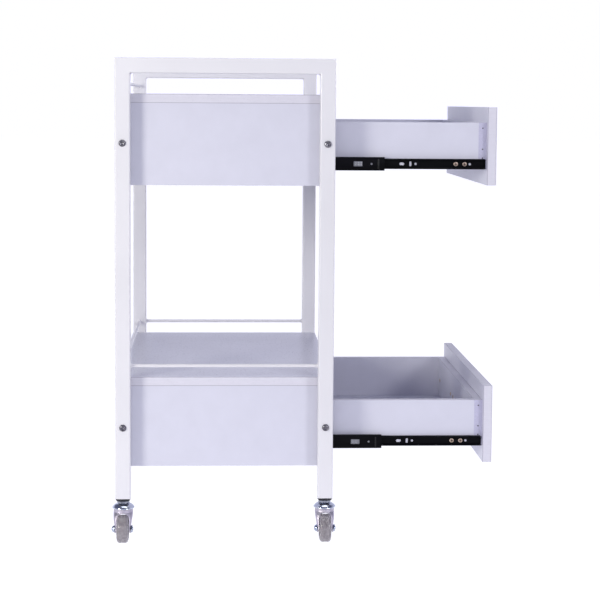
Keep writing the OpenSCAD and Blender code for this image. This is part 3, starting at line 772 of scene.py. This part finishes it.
def stem_bodies():
    """Stem, hexagon nut, dome and rivet of one caster, from the leg's end downwards."""
    thread = [(5 - 0.35 * (k % 2), 12.5 - k * 0.6) for k in range(37)]
    outline = [(0, 14), (4.2, 14), (5, 13), *thread,
               (5, CUP_TOP_MM + 0.4), (7.2, CUP_TOP_MM + 0.4), (7.6, CUP_TOP_MM),
               (11.5, CUP_TOP_MM - 0.1), (13.6, -11.1), (15.6, -12.1), (17.4, -13.5),
               (18.8, -15.1), (19.6, -16.2), (CUP_R_MM, -16.9), (CUP_R_MM, -17.7),
               (19.7, CUP_RIM_MM), (19.1, CUP_RIM_MM), (18.8, -17.6), (18.6, -16.6),
               (17.0, -14.8), (15.0, -13.4), (10.8, -12.0), (7, -12.0), (7, -17.6),
               (PIN_R_MM, -17.6), (PIN_R_MM, PIN_LOW_MM), (RIVET_R_MM, PIN_LOW_MM),
               (RIVET_R_MM, PIN_LOW_MM - 0.7), (6.5, PIN_LOW_MM - 1.4),
               (0, PIN_LOW_MM - 1.4)]
    nut = [("round", 0, NUT_TOP_MM), ("round", NUT_R_MM * 0.98, NUT_TOP_MM),
           ("hex", NUT_R_MM, NUT_TOP_MM - 0.5), ("hex", NUT_R_MM, NUT_LOW_MM + 0.5),
           ("round", NUT_R_MM * 0.98, NUT_LOW_MM), ("round", 0, NUT_LOW_MM)]
    return [turned(round_ring([(r * MM, z * MM) for r, z in outline]), 64),
            turned([(kind, r * MM, z * MM) for kind, r, z in nut], 48)]


def make_stems():
    """Stems with their domes, and the nuts on them, at the four swivel axes."""
    domes, nuts = [], []
    for end in ENDS:
        for side in SIDES:
            axis = JOINT_POS[f"{end}_{side}_caster_swivel"]
            place = Matrix.Translation(Vector((axis.x, axis.y, FOOT_Z)))
            dome, nut = stem_bodies()
            domes.append((dome, place))
            nuts.append((nut, place))
    add_piece("caster_stems_and_domes", joined(domes), CHROME, "trolley_frame",
              ["caster_stems"])
    add_piece("caster_stem_nuts", joined(nuts), NUT_ZINC, "trolley_frame",
              ["caster_stems"])


# Fork cross-sections down from the leg's end, in millimetres: height, half width,
# trailing edge, leading edge and corner radius. The top ones are round.
FORK_LEVELS_MM = [
    (-18.4, 15.9, -15.9, 15.9, 15.89), (-18.8, 16.8, -16.8, 16.8, 16.79),
    (-19.6, 17.2, -17.2, 17.2, 17.19), (-23.6, 17.2, -17.2, 17.2, 17.19),
    (-25.4, 17.15, -17.9, 17.1, 15.2), (-27.5, 17.05, -19.0, 16.8, 11.5),
    (-30.5, 16.8, -20.4, 15.4, 8.5), (-35.0, 16.3, -21.9, 12.0, 6.5),
    (-40.0, 15.5, -23.4, 7.6, 5.5), (-45.0, 14.7, -24.9, 2.6, 5.0),
    (-48.0, 14.35, -25.9, -0.6, 5.0), (-52.0, 14.3, -27.5, -5.0, 4.5),
    (-64.0, 14.3, -32.0, -18.0, 4.0)]
SHEET_MM = 1.9
AXLE_DROP_MM = -52.0
TRAIL_MM = 20.0
CHEEK_END_R_MM = 7.5
CHEEK_HALF_MM = 14.3
ARCH_MM = (11.4, -25.7, 9.6)    # half width, crown and the crown's corner radius


def fork_shell(inset):
    """Loft through the fork's cross-sections, moved in by an inset in millimetres. With
    an inset it is the hollow, which has a flat ceiling and runs out below the fork."""
    loops = []
    for z, half, trailing, leading, radius in FORK_LEVELS_MM:
        if inset and z > -20.0:
            continue
        outline = rounded_outline(-half + inset, half - inset, trailing + inset,
                                  leading - inset, max(radius - inset, 1.0), 9)
        loops.append([(x * MM, y * MM, z * MM) for x, y in outline])
    if inset:
        ceiling = (FORK_LEVELS_MM[0][0] - inset) * MM
        run_out = 0.012
        first = [(x, y, ceiling) for x, y, z in loops[0]]
        last = [(x, y, z - run_out) for x, y, z in loops[-1]]
        loops = [first, *loops, last]
    return loft(loops)


def prism(outline, axis, half):
    """Solid of an outline, given as two coordinates, along an axis from -half to half."""
    def point(a, b, along):
        """The outline's pair and the place along the axis, as x, y and z."""
        return (along, a, b) if axis == "X" else (a, along, b)
    return loft([[point(a * MM, b * MM, along * MM) for a, b in outline]
                 for along in (-half, half)])


def fork_side_outline():
    """The cheeks' outline from the side: straight edges and a round end at the axle."""
    points = [(24, -15), (24, -29), (15.6, -31.5)]
    points += [(y, z) for y, z in arc((-TRAIL_MM, AXLE_DROP_MM), CHEEK_END_R_MM, -38, -178, 14)]
    points += [(-21.8, -33), (-24, -15)]
    return points


def arch_outline(half, crown, crown_r):
    """Way for the wheel through the skirts, open below."""
    points = [(-half, -80), (half, -80)]
    points += arc((half - crown_r, crown - crown_r), crown_r, 0, 90, 8)
    points += arc((-half + crown_r, crown - crown_r), crown_r, 90, 180, 8)
    return points


def fork_body():
    """The pressed fork: shell, trimmed to the cheeks' outline, with the wheel's arch and
    the pin's hole."""
    shell = boolean(fork_shell(0), [fork_shell(SHEET_MM)])
    sides = boolean(shell, [prism(fork_side_outline(), "X", 30)], "INTERSECT")
    hole_r, low, high = 0.0051, -0.03, -0.01
    hole = turned(round_ring([(0, low), (hole_r, low), (hole_r, high), (0, high)]), 32)
    return boolean(sides, [prism(arch_outline(*ARCH_MM), "Y", 60), hole])


def axle_bodies():
    """Domed head on one side, nut and thread end on the other, along X."""
    half = CHEEK_HALF_MM
    head = [(0, -half - 5.6), (1.8, -half - 5.5), (3.6, -half - 4.8), (5.0, -half - 3.5),
            (5.9, -half - 1.8), (6.2, -half - 0.2), (6.0, -half), (3, -half)]
    shank = [(3, half + 3.6)] + [(3 - 0.25 * (k % 2), half + 3.7 + 0.12 * k) for k in range(5)]
    bolt = turned(round_ring([(r * MM, h * MM) for r, h in head + shank + [(0, half + 4.3)]]), 48)
    nut = [("round", 0, half), ("round", 5.6, half), ("hex", 5.6, half + 0.5),
           ("hex", 5.6, half + 3.0), ("round", 5.5, half + 3.4), ("round", 0, half + 3.4)]
    return [bolt, turned([(kind, r * MM, h * MM) for kind, r, h in nut], 48)]


def tyre_body():
    """Tyre with a rounded tread, a parting line round its middle and stepped sides."""
    half, r, low, round_r = 10.3, 25.0, 18.0, 6.0
    right = [(low, half - 1.2), (low + 0.8, half - 0.6), (low + 1.2, half - 0.1),
             (low + 1.6, half)] + arc((r - round_r, half - round_r), round_r, 90, 0, 10)
    middle = [(r - 0.3, 1.1), (r - 0.25, 0.7), (r, 0.45), (r, -0.45), (r - 0.25, -0.7),
              (r - 0.3, -1.1)]
    left = [(radius, -h) for radius, h in reversed(right)]
    outline = [*right, *middle, *left]
    inner = [(low, -half + 1.2), (low, half - 1.2)]
    rings = round_ring([(radius * MM, h * MM) for radius, h in outline + inner[1:]])
    bm = turned(rings, 96)
    bmesh.ops.remove_doubles(bm, verts=bm.verts, dist=1e-7)
    return bm


def make_casters():
    """Fork, axle bolt, tyre and core of the four casters. The wheels trail outwards, so
    the forks on the right are mirrored."""
    fork_mesh = fork_body()
    for end in ENDS:
        for side, sign in SIDES.items():
            name = f"{end}_{side}"
            swivel = JOINT_POS[f"{name}_caster_swivel"]
            leg = Matrix.Translation(Vector((swivel.x, swivel.y, FOOT_Z)))
            mirror = Matrix.Diagonal((1, -sign, 1, 1))
            fork = add_piece(f"{name}_pressed_fork", joined([(fork_mesh, leg @ mirror)]), FORK,
                             f"{name}_swivel", [f"{name}_fork"])
            soften(fork, FORK_EDGE, angle_deg=50)
            hub = Matrix.Translation(JOINT_POS[f"{name}_wheel_spin"])
            parts = [(bm, hub @ facing((1, 0, 0))) for bm in axle_bodies()]
            add_piece(f"{name}_axle_bolt", joined(parts), ZINC, f"{name}_swivel",
                      [f"{name}_axle"])
            parts = [(tyre_body(), hub @ facing((1, 0, 0)))]
            add_piece(f"{name}_rounded_tyre", joined(parts), TYRE, f"{name}_wheel",
                      [f"{name}_tyre"])
            dress(f"{name}_wheel_core", CORE, CORE_EDGE)


# ---- camera, light and floor ----------------------------------------------------------------

def make_camera():
    """Long lens just below the top bars and tilted slightly down, fitted to the edges in
    the photograph."""
    data = bpy.data.cameras.new("camera")
    data.sensor_width = 36.0
    data.lens = 93.55
    data.shift_x = 0.0167
    data.shift_y = -0.12
    camera = bpy.data.objects.new("camera", data)
    yaw, pitch, roll = math.radians(2.508), math.radians(4.600), math.radians(-0.386)
    forward = Vector((math.sin(yaw) * math.cos(pitch), math.cos(yaw) * math.cos(pitch),
                      -math.sin(pitch)))
    level = Vector((math.cos(yaw), -math.sin(yaw), 0))
    down = forward.cross(level)
    right = level * math.cos(roll) + down * math.sin(roll)
    up = level * math.sin(roll) - down * math.cos(roll)
    turn = Matrix((right, up, -forward)).transposed().to_4x4()
    near_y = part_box("left_side_frame")[0].y
    aside, away, above = 0.1888, 2.750, 0.709
    place = Vector((REAR_X + aside, near_y - away, FOOT_Z + above))
    camera.matrix_world = Matrix.Translation(place) @ turn
    bpy.context.scene.collection.objects.link(camera)
    bpy.context.scene.camera = camera


def area_light(name, place, target, size, power, colour=(1, 1, 1)):
    """Rectangular light at a place, turned to its target, with its power in watts."""
    data = bpy.data.lights.new(name, "AREA")
    data.shape = "RECTANGLE"
    data.size, data.size_y = size
    data.energy = power
    data.color = colour
    light = bpy.data.objects.new(name, data)
    direction = Vector(target) - Vector(place)
    light.matrix_world = (Matrix.Translation(Vector(place))
                          @ direction.to_track_quat("-Z", "Y").to_matrix().to_4x4())
    bpy.context.scene.collection.objects.link(light)


def make_light():
    """Key box front left, weaker ones front right, above and behind, and a white room
    that is dim overhead."""
    area_light("left_box", (-1.60, -1.70, 0.96), (-0.1, -0.2, 0.45), (0.5, 0.5), 25.5,
               (1.0, 0.98, 0.86))
    area_light("right_box", (2.34, -3.35, 1.98), (0.1, 0.0, 0.45), (0.8, 0.8), 45)
    area_light("top_box", (0.1, -0.3, 2.5), (0.1, -0.2, 0.4), (1.6, 1.6), 18)
    area_light("back_box", (2.25, 2.2, 1.0), (0, 0, 0.4), (1.0, 0.8), 14)
    world = bpy.data.worlds.new("room")
    bpy.context.scene.world = world
    world.use_nodes = True
    tree = world.node_tree
    place = tree.nodes.new("ShaderNodeTexCoord")
    split = tree.nodes.new("ShaderNodeSeparateXYZ")
    ramp = tree.nodes.new("ShaderNodeValToRGB")
    tree.links.new(place.outputs["Generated"], split.inputs["Vector"])
    tree.links.new(split.outputs["Z"], ramp.inputs["Fac"])
    wall, ceiling = ramp.color_ramp.elements
    wall.position = 0.22
    wall.color = (1.0, 1.0, 1.19, 1)
    ceiling.position = 0.50
    ceiling.color = (0.13, 0.14, 0.22, 1)
    tree.links.new(ramp.outputs["Color"], tree.nodes["Background"].inputs["Color"])
    tree.nodes["Background"].inputs["Strength"].default_value = 1.0


def make_floor():
    """Pale paper lit from below, white up to the room's walls and dimmer in front."""
    dim_until_y, bright_from_y = -2.0, -0.7
    dim, bright = 0.26, 0.94
    gap = 0.0002
    bm = bmesh.new()
    bmesh.ops.create_grid(bm, x_segments=4, y_segments=4, size=30)
    s = Shader("floor_paper", Roughness=0.9, Emission_Color=(1, 1, 1.09, 1))
    split = s.tree.nodes.new("ShaderNodeSeparateXYZ")
    s.link(s.place, split.inputs["Vector"])
    glow = s.tree.nodes.new("ShaderNodeMapRange")
    glow.inputs["From Min"].default_value = dim_until_y
    glow.inputs["From Max"].default_value = bright_from_y
    glow.inputs["To Min"].default_value = dim
    glow.inputs["To Max"].default_value = bright
    s.link(split.outputs["Y"], glow.inputs["Value"])
    s.link(glow.outputs["Result"], s.bsdf.inputs["Emission Strength"])
    s.colour(s.ramp(s.noise(2, 2), [(0.3, (0.14, 0.14, 0.14)), (0.7, (0.16, 0.16, 0.16))]))
    floor = as_object("floor", bm, s.material)
    floor.location.z = cad_box[0].z - gap


# ---- the whole ------------------------------------------------------------------------------

make_camera()
make_light()
make_floor()
dress_boards()
dress_steel()
make_rods()
make_welds()
make_bolts()
for drawer_level in FLOORS:
    make_drawer_screws(drawer_level)
    make_slide_details(drawer_level)
make_leg_plugs()
make_stems()
make_casters()
bpy.context.scene.view_settings.view_transform = "Standard"
bpy.context.scene.view_settings.look = "None"
